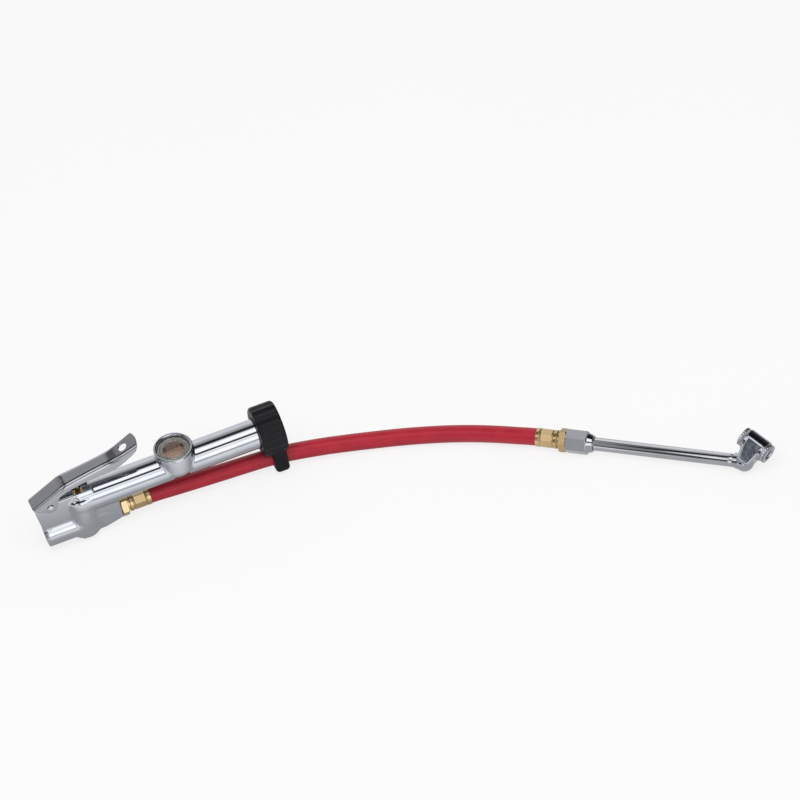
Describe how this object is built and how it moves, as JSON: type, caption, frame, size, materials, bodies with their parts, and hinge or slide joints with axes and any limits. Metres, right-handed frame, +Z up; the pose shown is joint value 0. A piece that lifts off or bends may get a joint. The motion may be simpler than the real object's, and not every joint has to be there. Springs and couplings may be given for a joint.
{
  "type": "tyre inflator",
  "caption": "Hand-held lever-operated tyre inflator with an in-line window gauge, short rubber whip hose and angled dual-head chuck.",
  "frame": {"origin": "centre of the mouth of the threaded air inlet", "axes": "+X along the gauge tube from the air inlet towards the rubber boot, +Z up through the lever and the window, inlet opens along -X"},
  "size_m": [0.5031, 0.1934, 0.0749],
  "materials": {
    "chrome_casting": "polished chrome plate over die-cast zinc",
    "lever_steel": "satin nickel-plated stamped steel",
    "chrome_steel": "polished chrome plate over turned steel",
    "brass": "turned brass, bright",
    "steel": "bright steel",
    "spring_steel": "bright drawn spring wire",
    "seal_rubber": "matt black nitrile",
    "boot_rubber": "satin black moulded rubber",
    "hose_rubber": "smooth satin red rubber",
    "lens_plastic": "clear moulded polycarbonate",
    "drum_plastic": "copper-brown indicator drum"
  },
  "bodies": {
    "housing": {"body_casting": "chrome_casting", "inlet_screen": "brass", "valve_guide": "brass", "stem_seal": "seal_rubber", "valve_spring": "spring_steel", "valve_plug": "chrome_steel", "plug_gasket": "seal_rubber", "lever_pin": "steel", "lens": "lens_plastic", "lens_ring": "chrome_casting", "lens_gasket": "seal_rubber", "gauge_spring": "spring_steel", "guide_rod": "steel", "gauge_end_plug": "chrome_steel", "end_plug_gasket": "seal_rubber", "rubber_boot": "boot_rubber", "body_hose_insert": "brass", "body_ferrule": "brass", "hose": "hose_rubber", "chuck_ferrule": "brass", "chuck_hose_insert": "brass", "chuck_coupling": "chrome_steel", "chuck_stem": "chrome_steel", "chuck_head": "chrome_casting", "front_ring": "chrome_steel", "rear_ring": "chrome_steel", "front_washer": "seal_rubber", "rear_washer": "seal_rubber", "front_spring": "spring_steel", "rear_spring": "spring_steel"},
    "lever_arm": {"lever": "lever_steel"},
    "valve": {"valve_stem": "brass", "valve_washer": "seal_rubber"},
    "gauge_slider": {"gauge_piston": "brass", "piston_cup": "seal_rubber", "indicator_drum": "drum_plastic"},
    "front_depressor": {"front_pin": "brass"},
    "rear_depressor": {"rear_pin": "brass"}
  },
  "joints": [
    {"name": "lever_pivot", "type": "hinge", "parent": "housing", "child": "lever_arm", "pos_m": [0.0065, 0, 0.031], "axis": [0, 1, 0], "range_deg": [0, 8], "stiffness_Nm_per_rad": 3, "springref_deg": -5.73},
    {"name": "valve_slide", "type": "slide", "parent": "housing", "child": "valve", "axis": [0, 0, -1], "range_m": [0, 0.0035], "deforming": ["valve_spring"]},
    {"name": "indicator_slide", "type": "slide", "parent": "housing", "child": "gauge_slider", "axis": [1, 0, 0], "range_m": [0, 0.042], "stiffness_N_per_m": 250, "springref_m": -0.01, "deforming": ["gauge_spring"]},
    {"name": "front_pin_slide", "type": "slide", "parent": "housing", "child": "front_depressor", "axis": [-0.4911, 0.8127, 0.3135], "range_m": [0, 0.0018], "stiffness_N_per_m": 500, "springref_m": -0.001, "deforming": ["front_spring"]},
    {"name": "rear_pin_slide", "type": "slide", "parent": "housing", "child": "rear_depressor", "axis": [0.4911, -0.8127, -0.3135], "range_m": [0, 0.0018], "stiffness_N_per_m": 500, "springref_m": -0.001, "deforming": ["rear_spring"]}
  ],
  "couplings": [
    {"joint": "valve_slide", "follows": "lever_pivot", "m_per_rad": 0.0243}
  ]
}
